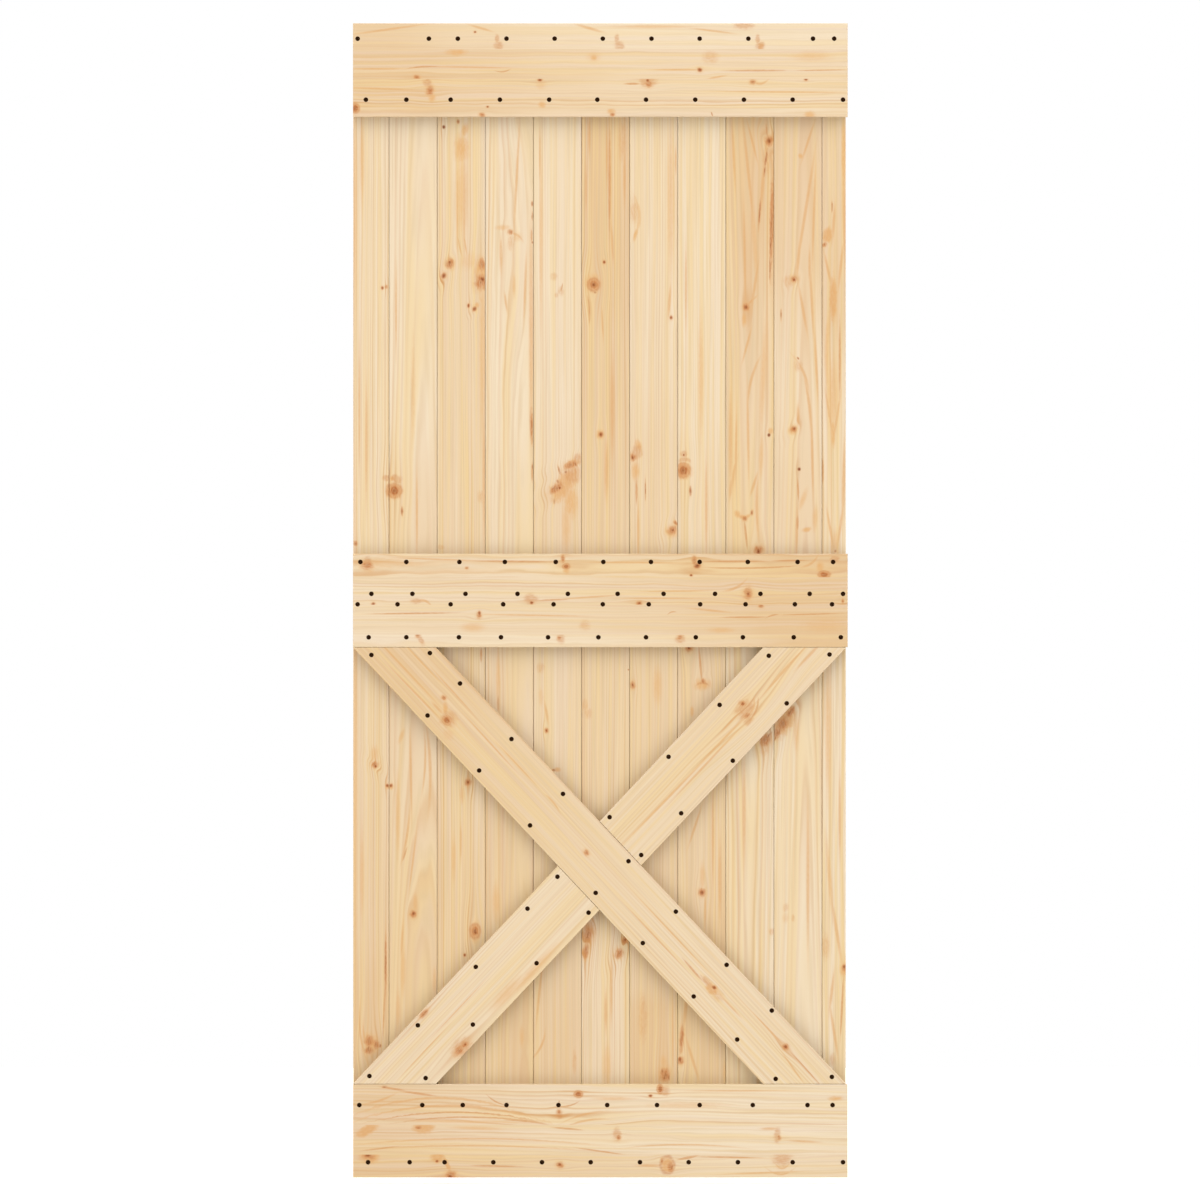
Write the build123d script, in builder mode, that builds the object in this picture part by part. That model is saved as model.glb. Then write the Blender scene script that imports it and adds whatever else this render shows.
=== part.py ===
from build123d import *
import math
import os

os.makedirs("parts", exist_ok=True)

# A sliding door leaf: upright tongued boards, three rails across them and a crossed brace below.
# Millimetres, x to the right, y to the back, z up. The origin is the middle of the top edge.

leaf_width = 900  # length of each rail
leaf_height = 2100
rail_height = 170
rail_thickness = 18  # rails and braces are planed alike
brace_width = 110
board_thickness = 17
board_face = 87  # face of a whole board
left_face = 65  # face of the first board, ripped to fit
narrowest_face = 30  # the last board is never ripped narrower than this
right_setback = 3  # boards and braces stop this far short of the rails' right ends

joint_gap = 0.6  # between the faces of two boards
board_bevel = 1.0  # along the long edges of both faces of a board
tongue_length = 8
tongue_thickness = 5.4
tongue_ease = 0.8  # bevel on the tongue's two corners
tongue_room = 0.2  # beside the tongue, each side
tongue_end_room = 1.0  # past the tongue's end
eased_edge = 1.5  # radius on the front edges of rails and braces
fit_gap = 0.4  # between a brace and the piece that its end meets

head_diameter = 8.4
head_rim = 0.3  # straight rim of the head, above its cone
head_sink = 0.5  # the head lies this far below the wood
shank_diameter = 4.2
screw_bite = 12.5  # how far the point goes into the boards
point_length = 4
point_diameter = 0.6
recess_length = 4.6  # arms of the cross in the head
recess_width = 1.0
recess_depth = 1.2
screw_room = 0.1  # round the screw in its hole
pilot_end_room = 0.5
screw_edge_room = 5  # from a screw's middle to the edge of its board

# Rows of screws along a rail. A row lies so far below the rail's upper edge, or above its lower
# edge where the number is negative. Each board takes one screw, leaning so far from its middle.
top_rail_rows = [
    (28, [-24, 29, -6, -5, -5, -5, -4, -4, -3, 27, 0]),
    (-31, [-9, -12, -19, -17, -15, -15, -14, -12, -11, -10, 16]),
]
middle_rail_rows = [
    (15, [-19, -12, -3, -8, -3, -4, -5, -4, -4, -1, -2]),
    (73, [1, -1, 8, 15, 19, 22, 18, 24, 19, 21, 16]),
    (-78, [-24, -28, -19, -11, -7, -5, -9, -3, -8, -6, -4]),
    (-18, [-4, -12, -4, -15, -17, -13, -14, -11, -13, -8, 12]),
]
bottom_rail_rows = [
    (38, [-21, 17, 3, -5, 2, 3, 6, -4, 5, 17, -3]),
    (-28, [-5, -6, -30, -29, -28, -27, -25, -24, -22, -10, 16]),
]

# Rows of screws along a brace, one by each long edge: how far the first and the last screw are
# from the edge's corners, how far each one shifts from even spacing, and how far in from the edge.
long_brace_rows = {
    "upper": (0, 27, [0, -55, -50, -46, -8, -15, -14, -30, 0], [15, 13, 14, 14, 11, 11, 10, 7, 10]),
    "lower": (33, -9, [0, 17, 21, 24, 62, 54, 55, 33, 0], [15, 14, 14, 13, 16, 16, 17, 21, 23]),
}
upper_short_brace_rows = {
    "upper": (18, 4, [0, 16, 11, 0], [8, 11, 14, 18]),
    "lower": (14, 30, [0, -20, -11, 7, 0], [13, 12, 9, 9, 13]),
}
lower_short_brace_rows = {
    "upper": (31, 15, [0, 3, 28, 45, 0], [12, 13, 17, 13, 13]),
    "lower": (-5, 17, [0, -11, 9, 0], [21, 25, 17, 11]),
}

# Planes of the build-up, from the front of the rails to the back of the boards.
leaf_thickness = rail_thickness + board_thickness
rail_front = -leaf_thickness / 2
board_front = rail_front + rail_thickness
board_back = board_front + board_thickness
tongue_middle = (board_front + board_back) / 2
facing = Plane(origin=(0, 0, 0), x_dir=(1, 0, 0), z_dir=(0, -1, 0))  # local x and y are x and z
rail_front_plane = facing.offset(-rail_front)
board_front_plane = facing.offset(-board_front)

field_left = -leaf_width / 2
field_right = leaf_width / 2 - right_setback
field_width = field_right - field_left

# Setting out of the boards: whole ones between a first and a last that are ripped to fit.
board_pitch = board_face + joint_gap
boards_span = field_width - left_face
whole_boards = int(boards_span // board_pitch)
right_face = boards_span - whole_boards * board_pitch - joint_gap
first_face = left_face
if right_face < narrowest_face:
    first_face = left_face - (narrowest_face - right_face)
    right_face = narrowest_face

faces = [(field_left, field_left + first_face)]
for step in range(whole_boards):
    start = faces[0][1] + joint_gap + step * board_pitch
    faces.append((start, start + board_face))
faces.append((field_right - right_face, field_right))

# Heights of the rails' upper edges and of the panel that the braces cross.
top_rail_edge = 0
middle_rail_edge = -(leaf_height - rail_height) / 2
bottom_rail_edge = -(leaf_height - rail_height)
panel_top = middle_rail_edge - rail_height - fit_gap
panel_bottom = bottom_rail_edge + fit_gap
panel_height = panel_top - panel_bottom

# A brace runs from corner to corner, so its level end cuts and its slope fill the field's width.
diagonal = math.hypot(field_width, panel_height)
slope = math.atan2(panel_height, field_width) + math.asin(brace_width / diagonal)
end_cut = brace_width / math.sin(slope)
crossing_x = (field_left + field_right) / 2
crossing_z = (panel_top + panel_bottom) / 2
half_run = (field_width - end_cut) / 2 / math.cos(slope)  # from the crossing to an end, on the middle line
end_skew = brace_width / 2 / math.tan(slope)  # how much further or nearer the end is along an edge
butt_run = (brace_width / 2 + fit_gap) / math.sin(2 * slope)  # from the crossing to a short brace's butt
butt_skew = brace_width / 2 / math.tan(2 * slope)

screw_length = rail_thickness - head_sink + screw_bite
head_height = (head_diameter - shank_diameter) / 2  # a cone of 90 degrees


def rail_spots(rail_edge, rows):
    """Where the screws of one rail stand, as pairs of x and z."""
    spots = []
    for drop, leans in rows:
        level = rail_edge - drop if drop > 0 else rail_edge - rail_height - drop
        for index, (left, right) in enumerate(faces):
            room = (right - left) / 2 - screw_edge_room
            lean = max(-room, min(room, leans[index % len(leans)]))
            spots.append(((left + right) / 2 + lean, level))
    return spots


def brace_spots(rise, rows, starts, ends):
    """Where the screws of one brace stand. rise is 1 where it rises to the right, or else -1."""
    spots = []
    for edge, side in (("upper", 1), ("lower", -1)):
        first, last, shifts, insets = rows[edge]
        start = starts[edge] + first
        step = (ends[edge] - last - start) / (len(shifts) - 1)
        for index, (shift, inset) in enumerate(zip(shifts, insets)):
            along = start + index * step + shift
            across = side * (brace_width / 2 - inset)
            x = crossing_x + along * math.cos(slope) - rise * across * math.sin(slope)
            z = crossing_z + rise * along * math.sin(slope) + across * math.cos(slope)
            spots.append((x, z))
    return spots


spots_by_piece = {
    "top_rail": rail_spots(top_rail_edge, top_rail_rows),
    "middle_rail": rail_spots(middle_rail_edge, middle_rail_rows),
    "bottom_rail": rail_spots(bottom_rail_edge, bottom_rail_rows),
    "long_brace": brace_spots(
        -1,
        long_brace_rows,
        {"upper": -half_run + end_skew, "lower": -half_run - end_skew},
        {"upper": half_run + end_skew, "lower": half_run - end_skew},
    ),
    "upper_short_brace": brace_spots(
        1,
        upper_short_brace_rows,
        {"upper": butt_run - butt_skew, "lower": butt_run + butt_skew},
        {"upper": half_run - end_skew, "lower": half_run + end_skew},
    ),
    "lower_short_brace": brace_spots(
        1,
        lower_short_brace_rows,
        {"upper": -half_run - end_skew, "lower": -half_run + end_skew},
        {"upper": -butt_run - butt_skew, "lower": -butt_run + butt_skew},
    ),
}


def finish_piece(name, part):
    """Label one piece and write it to its own file."""
    part.label = name
    export_step(part, f"parts/{name}.step")


def front_edges(piece):
    """The edges round the front face of a rail or brace."""
    return piece.faces().sort_by(Axis.Y)[0].edges()


def screw_holes(spots):
    """Countersunk holes through a rail or brace, for the screws at these spots."""
    seat_plane = rail_front_plane.offset(-head_sink - head_rim)
    with Locations(*[seat_plane.location * Pos(x, z) for x, z in spots]):
        CounterSinkHole(
            radius=shank_diameter / 2 + screw_room,
            counter_sink_radius=head_diameter / 2 + screw_room,
            depth=rail_thickness,
            counter_sink_angle=90,
        )


# Rails: flat lengths across the boards, with their front edges eased.
for name, rail_edge in (
    ("top_rail", top_rail_edge),
    ("middle_rail", middle_rail_edge),
    ("bottom_rail", bottom_rail_edge),
):
    with BuildPart() as rail:
        with BuildSketch(board_front_plane):
            with Locations((0, rail_edge)):
                Rectangle(leaf_width, rail_height, align=(Align.CENTER, Align.MAX))
        extrude(amount=rail_thickness)
        fillet(front_edges(rail), eased_edge)
        screw_holes(spots_by_piece[name])
    finish_piece(name, rail.part)

# The long brace falls from the upper left corner of the lower panel to its lower right corner.
long_brace_outline = [
    (field_left, panel_top),
    (field_left + end_cut, panel_top),
    (field_right, panel_bottom),
    (field_right - end_cut, panel_bottom),
]
with BuildPart() as long_brace:
    with BuildSketch(board_front_plane):
        with BuildLine():
            Polyline(*long_brace_outline, close=True)
        make_face()
    extrude(amount=rail_thickness)
    fillet(front_edges(long_brace), eased_edge)
    screw_holes(spots_by_piece["long_brace"])
finish_piece("long_brace", long_brace.part)

# The short braces are one rising band, parted where the long brace and its gaps pass through it.
with BuildSketch(board_front_plane) as rising_band:
    with BuildLine():
        Polyline(
            (field_right - end_cut, panel_top),
            (field_right, panel_top),
            (field_left + end_cut, panel_bottom),
            (field_left, panel_bottom),
            close=True,
        )
    make_face()
    with Locations((crossing_x, crossing_z)):
        Rectangle(
            2 * half_run,
            brace_width + 2 * fit_gap,
            rotation=-math.degrees(slope),
            mode=Mode.SUBTRACT,
        )

band_pieces = rising_band.sketch.faces().sort_by(Axis.Z)
for name, outline in (("lower_short_brace", band_pieces[0]), ("upper_short_brace", band_pieces[-1])):
    with BuildPart() as short_brace:
        extrude(outline, amount=rail_thickness, dir=(0, -1, 0))
        fillet(front_edges(short_brace), eased_edge)
        screw_holes(spots_by_piece[name])
    finish_piece(name, short_brace.part)


def left_edge_points(left, grooved):
    """A board's left edge in plan, from back to front, with its groove or ripped plain."""
    points = [(left + board_bevel, board_back), (left, board_back - board_bevel)]
    if grooved:
        half = tongue_thickness / 2 + tongue_room
        depth = left - joint_gap + tongue_length + tongue_end_room
        points += [(left, tongue_middle + half), (depth, tongue_middle + half)]
        points += [(depth, tongue_middle - half), (left, tongue_middle - half)]
    return points + [(left, board_front + board_bevel), (left + board_bevel, board_front)]


def right_edge_points(right, tongued):
    """A board's right edge in plan, from front to back, with its tongue or ripped plain."""
    points = [(right - board_bevel, board_front), (right, board_front + board_bevel)]
    if tongued:
        half = tongue_thickness / 2
        tip = right + tongue_length
        points += [(right, tongue_middle - half), (tip - tongue_ease, tongue_middle - half)]
        points += [(tip, tongue_middle - half + tongue_ease), (tip, tongue_middle + half - tongue_ease)]
        points += [(tip - tongue_ease, tongue_middle + half), (right, tongue_middle + half)]
    return points + [(right, board_back - board_bevel), (right - board_bevel, board_back)]


# Boards: full height, each tongue in the next board's groove, with pilot holes for the screws.
all_spots = [spot for spots in spots_by_piece.values() for spot in spots]
pilot_radius = shank_diameter / 2 + screw_room
for index, (left, right) in enumerate(faces):
    is_first = index == 0
    is_last = index == len(faces) - 1
    reach_left = left - pilot_radius
    reach_right = right + pilot_radius + (0 if is_last else tongue_length)
    own_spots = [(x, z) for x, z in all_spots if reach_left < x < reach_right]
    with BuildPart() as board:
        with BuildSketch(Plane.XY):
            with BuildLine():
                outline = left_edge_points(left, not is_first) + right_edge_points(right, not is_last)
                Polyline(*outline, close=True)
            make_face()
        extrude(amount=-leaf_height)
        with Locations(*[board_front_plane.location * Pos(x, z) for x, z in own_spots]):
            Hole(radius=pilot_radius, depth=screw_bite + pilot_end_room)
    finish_piece(f"board_{index + 1:02d}", board.part)

# One countersunk screw, its head level with z = 0 and its point down, with a cross in the head.
with BuildPart() as screw:
    with BuildSketch(Plane.XZ):
        with BuildLine():
            Polyline(
                (0, 0),
                (head_diameter / 2, 0),
                (head_diameter / 2, -head_rim),
                (shank_diameter / 2, -head_rim - head_height),
                (shank_diameter / 2, -screw_length + point_length),
                (point_diameter / 2, -screw_length),
                (0, -screw_length),
                close=True,
            )
        make_face()
    revolve(axis=Axis.Z)
    with BuildSketch(Plane.XY):
        Rectangle(recess_length, recess_width)
        Rectangle(recess_width, recess_length)
    extrude(amount=-recess_depth, mode=Mode.SUBTRACT)

# The screws of each rail and brace are one set, each head sunk in its own hole.
head_plane = rail_front_plane.offset(-head_sink)
for name, spots in spots_by_piece.items():
    with BuildPart() as screw_set:
        with Locations(*[head_plane.location * Pos(x, z) for x, z in spots]):
            add(screw.part)
    finish_piece(f"{name}_screws", screw_set.part)
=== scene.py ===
import math

import bpy
import numpy as np
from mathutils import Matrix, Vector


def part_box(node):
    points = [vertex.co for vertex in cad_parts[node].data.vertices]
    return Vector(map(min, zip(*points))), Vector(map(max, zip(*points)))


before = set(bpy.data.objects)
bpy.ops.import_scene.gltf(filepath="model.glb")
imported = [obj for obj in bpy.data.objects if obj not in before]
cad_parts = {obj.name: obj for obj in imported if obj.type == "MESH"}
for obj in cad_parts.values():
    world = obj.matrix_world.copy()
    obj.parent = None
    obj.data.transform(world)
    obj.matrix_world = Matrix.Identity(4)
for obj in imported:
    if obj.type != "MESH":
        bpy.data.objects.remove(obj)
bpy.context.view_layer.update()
mm = 0.001
print("frame loaded:", len(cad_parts), "nodes")


def fromSrgb(red, green, blue):
    # A colour as a screen shows it, 0 to 255, turned into linear light by the usual sRGB curve
    linear = []
    for value in (red, green, blue):
        share = value / 255
        linear.append(share / 12.92 if share <= 0.04045 else ((share + 0.055) / 1.055) ** 2.4)
    return (*linear, 1.0)


# Short ways to place shader nodes

def feed(tree, socket, value):
    # Another node's socket is linked, anything else is set as the value
    if isinstance(value, bpy.types.NodeSocket):
        tree.links.new(value, socket)
    else:
        socket.default_value = value


def addNode(tree, kind, inputs=None, **settings):
    node = tree.nodes.new("ShaderNode" + kind)
    for name, value in settings.items():
        setattr(node, name, value)
    for name, value in (inputs or {}).items():
        feed(tree, node.inputs[name], value)
    return node


def maths(tree, operation, *values):
    node = addNode(tree, "Math", operation=operation)
    for socket, value in zip(node.inputs, values):
        feed(tree, socket, value)
    return node.outputs[0]


def vectors(tree, operation, *values):
    node = addNode(tree, "VectorMath", operation=operation)
    for socket, value in zip(node.inputs, values):
        feed(tree, socket, value)
    return node.outputs["Value" if operation in ("LENGTH", "DOT_PRODUCT") else "Vector"]


def ramp(tree, value, start, end, low=0.0, high=1.0):
    # Rises smoothly from low to high as value goes from start to end
    inputs = {"Value": value, "From Min": start, "From Max": end, "To Min": low, "To Max": high}
    return addNode(tree, "MapRange", inputs, interpolation_type="SMOOTHSTEP").outputs["Result"]


def mixColours(tree, factor, first, second):
    node = addNode(tree, "Mix", data_type="RGBA")
    feed(tree, node.inputs[0], factor)
    feed(tree, node.inputs[6], first)
    feed(tree, node.inputs[7], second)
    return node.outputs[2]


def noiseOf(tree, place, texture, shift, output="Fac"):
    # texture: the noise's size along each axis, in the units of place, and how much fine detail it has
    sizes, detail = texture
    steps = tuple(1 / size for size in sizes)
    stretched = vectors(tree, "MULTIPLY_ADD", place, steps, shift)
    node = addNode(tree, "TexNoise", {"Vector": stretched, "Scale": 1.0, "Detail": detail})
    return node.outputs[output]


def split(tree, vector):
    return addNode(tree, "SeparateXYZ", {0: vector}).outputs


def join(tree, x=0.0, y=0.0, z=0.0):
    return addNode(tree, "CombineXYZ", {0: x, 1: y, 2: z}).outputs[0]


def newGroup(name, inputs, outputs):
    # inputs: name, socket type and default. outputs: name and socket type
    tree = bpy.data.node_groups.new(name, "ShaderNodeTree")
    for label, kind, default in inputs:
        socket = tree.interface.new_socket(label, in_out="INPUT", socket_type="NodeSocket" + kind)
        socket.default_value = default
    for label, kind in outputs:
        tree.interface.new_socket(label, in_out="OUTPUT", socket_type="NodeSocket" + kind)
    return tree, tree.nodes.new("NodeGroupInput").outputs, tree.nodes.new("NodeGroupOutput").inputs


def placeGroup(tree, group, inputs):
    node = addNode(tree, "Group", node_tree=group)
    for name, value in inputs.items():
        feed(tree, node.inputs[name], value)
    return node.outputs


def newMaterial(name):
    material = bpy.data.materials.new(name)
    material.use_nodes = True
    material.node_tree.nodes.clear()
    return material


def setSurface(tree, inputs):
    surface = addNode(tree, "BsdfPrincipled", inputs)
    output = addNode(tree, "OutputMaterial")
    tree.links.new(surface.outputs[0], output.inputs["Surface"])


# Grain of planed pine. Place is in mm: x across the plank, y into it and z along it.
# A ring's number is its distance from the pith, bent by slow noise, over the ring pitch,
# and streaks, bands and lines all follow the rings, so that they bend together.

grainColours = {
    "Pale": fromSrgb(241, 221, 190),
    "Tan": fromSrgb(227, 192, 147),
    "Honey": fromSrgb(238, 208, 152),
    "Lilac": fromSrgb(236, 213, 190),
    "Fibre": fromSrgb(219, 191, 149),
    "Latewood": fromSrgb(212, 158, 102),
    "End": fromSrgb(206, 163, 116),
}

# Noise is given as its sizes in mm across, into and along the plank, and its detail. A pair says
# where a part starts to show and where it is full, and two more numbers its strength at each.
grainShape = {
    "drift": ((70, 70, 750), 1.5),
    "ripple": ((15, 15, 1), 2.0),         # along the plank it goes by the plank's own wave
    "swing": 2.0,                         # noise strays half a unit to each side, and this makes it one
    "band": ((7, 7, 600), 1.0),
    "streak": ((2.4, 2.4, 230), 1.0),
    "fibre": ((0.9, 0.9, 38), 3.0),
    "sideShare": 0.1,                     # how far bands and streaks also change along a ring
    "bandTone": 1.6,
    "honey": (0.4, 0.66, 0.0, 1.4),
    "lilac": (0.46, 0.68),
    "thin": (0.42, 0.72, 0.0, 0.9),
    "fibreTone": 0.4,
    "lineRise": (0.25, 0.82),             # where in a ring its latewood line builds up
    "lineFall": (1.0, 0.8),               # and where it ends
    "linePower": 2.0,                     # above 1, few rings are strong
    "lineLeast": 0.15,
    "lineFades": (0.3, 0.65, 0.35, 1.0),  # lines come and go along the plank
    "nearKnots": 0.8,                     # how much stronger they are beside a knot
    "endRise": (0.2, 0.95),               # the same lines on end grain
    "endDepth": 0.45,
    "endLeast": 0.35,
    "endFacing": (0.6, 0.9),              # how square to the grain a face is before it shows its end
}


def buildGrain(colours, shape):
    inputs = [(name, "Color", colour) for name, colour in colours.items()]
    inputs += [
        ("Place", "Vector", (0, 0, 0)),
        ("Push", "Vector", (0, 0, 0)),        # from the knots: x aside and y deeper in mm, z how near
        ("Pith", "Vector", (0, 60, 0)),       # across and behind the face, in mm
        ("Seed", "Vector", (0, 0, 0)),
        ("Pitch", "Float", 5.0),              # between two rings, in mm
        ("Taper", "Float", 0.0),              # how much the rings widen, in mm a mm
        ("Wander", "Float", 6.0),             # slow drift of the grain, in mm
        ("Ripple", "Float", 1.5),             # short waves in it, in mm
        ("Wave", "Float", 240.0),             # their length, in mm
        ("Look", "Vector", (0.5, 0.5, 0.4)),  # toning from pale to tan, lines and streaks
        ("Pink", "Float", 0.3),
        ("Ends", "Float", 0.0),               # 1 where the grain is cut across
    ]
    tree, given, results = newGroup("pineGrain", inputs, [("Color", "Color")])
    place = given["Place"]
    seed = given["Seed"]
    toning, lines, streaks = split(tree, given["Look"])
    spot = split(tree, place)
    slow = split(tree, noiseOf(tree, place, shape["drift"], seed, "Color"))
    short = join(tree, spot[0], spot[1], maths(tree, "DIVIDE", spot[2], given["Wave"]))
    quick = split(tree, noiseOf(tree, short, shape["ripple"], seed, "Color"))
    push = split(tree, given["Push"])
    offset = split(tree, vectors(tree, "SUBTRACT", place, given["Pith"]))
    drift = maths(tree, "MULTIPLY", maths(tree, "SUBTRACT", slow[0], 0.5), given["Wander"])
    waves = maths(tree, "MULTIPLY", maths(tree, "SUBTRACT", quick[0], 0.5), given["Ripple"])
    across = maths(tree, "SUBTRACT", offset[0], push[0])
    across = maths(tree, "MULTIPLY_ADD", drift, shape["swing"], across)
    radius = vectors(tree, "LENGTH", join(tree, across, offset[1]))
    radius = maths(tree, "ADD", radius, push[1])
    radius = maths(tree, "MULTIPLY_ADD", waves, shape["swing"], radius)
    radius = maths(tree, "MULTIPLY_ADD", offset[2], given["Taper"], radius)

    # Wide bands, narrow streaks and fibres
    ringPlace = join(tree, radius, maths(tree, "MULTIPLY", across, shape["sideShare"]), offset[2])
    bands = split(tree, noiseOf(tree, ringPlace, shape["band"], seed, "Color"))
    narrow = split(tree, noiseOf(tree, ringPlace, shape["streak"], seed, "Color"))
    bent = join(tree, across, spot[1], spot[2])
    fibre = noiseOf(tree, bent, shape["fibre"], seed)
    stray = maths(tree, "MULTIPLY", maths(tree, "SUBTRACT", bands[2], 0.5), streaks)
    toning = maths(tree, "MULTIPLY_ADD", stray, shape["bandTone"], toning)
    colour = mixColours(tree, toning, given["Pale"], given["Tan"])
    yellow = maths(tree, "MULTIPLY", ramp(tree, bands[0], *shape["honey"]), streaks)
    colour = mixColours(tree, yellow, colour, given["Honey"])
    rosy = maths(tree, "MULTIPLY", ramp(tree, bands[1], *shape["lilac"]), given["Pink"])
    colour = mixColours(tree, rosy, colour, given["Lilac"])
    thin = maths(tree, "MULTIPLY", ramp(tree, narrow[0], *shape["thin"]), streaks)
    thin = maths(tree, "MULTIPLY_ADD", maths(tree, "SUBTRACT", fibre, 0.5), shape["fibreTone"], thin)
    colour = mixColours(tree, thin, colour, given["Fibre"])

    # Latewood lines, each ring with its own strength
    ring = maths(tree, "DIVIDE", radius, given["Pitch"])
    number = maths(tree, "FLOOR", ring)
    within = maths(tree, "FRACT", ring)
    shift = split(tree, seed)[0]
    chance = addNode(tree, "TexWhiteNoise", {"Vector": join(tree, number, shift)}, noise_dimensions="2D")
    bold = maths(tree, "POWER", chance.outputs["Value"], shape["linePower"])
    bold = maths(tree, "MULTIPLY_ADD", bold, 1 - shape["lineLeast"], shape["lineLeast"])
    line = maths(tree, "MULTIPLY", ramp(tree, within, *shape["lineRise"]),
                 ramp(tree, within, *shape["lineFall"]))
    line = maths(tree, "MULTIPLY", line, bold)
    line = maths(tree, "MULTIPLY", line, ramp(tree, slow[1], *shape["lineFades"]))
    near = maths(tree, "MULTIPLY_ADD", push[2], shape["nearKnots"], 1.0)
    line = maths(tree, "MULTIPLY", maths(tree, "MULTIPLY", line, near), lines)
    colour = mixColours(tree, line, colour, given["Latewood"])

    # End grain is darker, with its rings standing out
    pores = ramp(tree, within, *shape["endRise"])
    pores = maths(tree, "MULTIPLY_ADD", pores, shape["endDepth"], shape["endLeast"])
    ends = maths(tree, "MULTIPLY", pores, given["Ends"])
    colour = mixColours(tree, ends, colour, given["End"])
    feed(tree, results["Color"], colour)
    return tree


# A knot, pin, streak or patch. Place is counted in the mark's own radii, x across and z along.
# Stains gathers the strongest amber, red and dark so far, and Push how far the grain gives way.

markShape = {
    "ragged": ((6, 6, 10), 2.5),       # noise that frays the outline, as sizes in mm and detail
    "speckle": ((1.3, 1.3, 9), 2.0),   # and noise that lets the fibres show through
    "speckleFrom": (0.38, 0.6),
    "stretch": 1.25,                   # along the grain, for a mark that gives none
    "redReach": (1.2, 0.5),            # in radii: where the red starts and where it is full
    "ringTurn": 13.5,                  # how tightly its rings follow each other, in radians a radius
    "rimWidth": 0.4,                   # in radii
    "pushReach": (3.6, 0.5),           # in radii: from where the grain gives way, and where it is full
    "pushAlong": 0.45,                 # the same along the grain, as a share of that across
    "pushLeast": 0.5,                  # a smaller spread than this, in mm, leaves the lines their strength
}


def buildMark(shape):
    inputs = [
        ("Place", "Vector", (0, 0, 0)),
        ("Wobble", "Vector", (0, 0, 0)),
        ("Speckle", "Float", 0.5),
        ("Down", "Float", 0.0),                   # across the plank in mm, for a mark cut by a glue line
        ("CutMiddle", "Float", 0.0),
        ("CutHalf", "Float", 1000.0),
        ("Stains", "Vector", (0, 0, 0)),
        ("Push", "Vector", (0, 0, 0)),
        ("Strength", "Vector", (0.6, 0.6, 0.6)),  # of amber, red and dark
        ("Halo", "Float", 2.2),                   # reach of the amber
        ("Full", "Float", 0.25),                  # how far out it stays whole
        ("Core", "Float", 0.5),                   # reach of the dark
        ("Rim", "Float", 0.0),                    # strength of a red outline
        ("Rings", "Float", 0.3),                  # how far the red comes in rings
        ("Ragged", "Float", 0.4),
        ("Broken", "Float", 0.3),                 # how far the fibres show through
        ("Bend", "Float", 0.0),                   # how far its ends curl aside, in radii
        ("Spread", "Float", 4.0),                 # grain pushed aside, in mm
        ("Swell", "Float", 0.0),                  # rings bowed one way, in mm
    ]
    tree, given, results = newGroup("pineMark", inputs, [("Stains", "Vector"), ("Push", "Vector")])
    scaled = addNode(tree, "VectorMath", {0: given["Wobble"]}, operation="SCALE")
    feed(tree, scaled.inputs["Scale"], given["Ragged"])
    place = split(tree, vectors(tree, "ADD", given["Place"], scaled.outputs[0]))
    curl = maths(tree, "MULTIPLY", maths(tree, "MULTIPLY", place[2], place[2]), given["Bend"])
    away = vectors(tree, "LENGTH", join(tree, maths(tree, "SUBTRACT", place[0], curl), place[1], place[2]))
    amber = ramp(tree, away, given["Halo"], given["Full"])
    rings = maths(tree, "COSINE", maths(tree, "MULTIPLY", away, shape["ringTurn"]))
    rings = maths(tree, "MULTIPLY", maths(tree, "SUBTRACT", rings, 1.0), given["Rings"])
    rings = maths(tree, "MULTIPLY_ADD", rings, 0.5, 1.0)
    red = maths(tree, "MULTIPLY", ramp(tree, away, *shape["redReach"]), rings)
    dark = ramp(tree, away, given["Core"], 0.0)
    stains = vectors(tree, "MULTIPLY", join(tree, amber, red, dark), given["Strength"])
    outline = maths(tree, "ABSOLUTE", maths(tree, "SUBTRACT", away, 1.0))
    outline = maths(tree, "MULTIPLY", ramp(tree, outline, shape["rimWidth"], 0.0), given["Rim"])
    stains = vectors(tree, "MAXIMUM", stains, join(tree, 0.0, outline, 0.0))
    fibres = maths(tree, "SUBTRACT", ramp(tree, given["Speckle"], *shape["speckleFrom"]), 1.0)
    inside = maths(tree, "COMPARE", given["Down"], given["CutMiddle"], given["CutHalf"])
    whole = maths(tree, "MULTIPLY", maths(tree, "MULTIPLY_ADD", fibres, given["Broken"], 1.0), inside)
    stains = vectors(tree, "MULTIPLY", stains, whole)
    feed(tree, results["Stains"], vectors(tree, "MAXIMUM", stains, given["Stains"]))
    wide = split(tree, vectors(tree, "MULTIPLY", given["Place"], (1.0, 0.0, shape["pushAlong"])))
    reach = vectors(tree, "LENGTH", join(tree, wide[0], 0.0, wide[2]))
    fall = maths(tree, "MULTIPLY", ramp(tree, reach, *shape["pushReach"]), inside)
    aside = maths(tree, "MULTIPLY", maths(tree, "MULTIPLY", wide[0], fall), given["Spread"])
    deeper = maths(tree, "MULTIPLY", fall, given["Swell"])
    near = maths(tree, "MULTIPLY", fall, maths(tree, "GREATER_THAN", given["Spread"], shape["pushLeast"]))
    feed(tree, results["Push"], vectors(tree, "ADD", join(tree, aside, deeper, near), given["Push"]))
    return tree


grainGroup = buildGrain(grainColours, grainShape)
markGroup = buildMark(markShape)
print("shader groups built")

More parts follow.
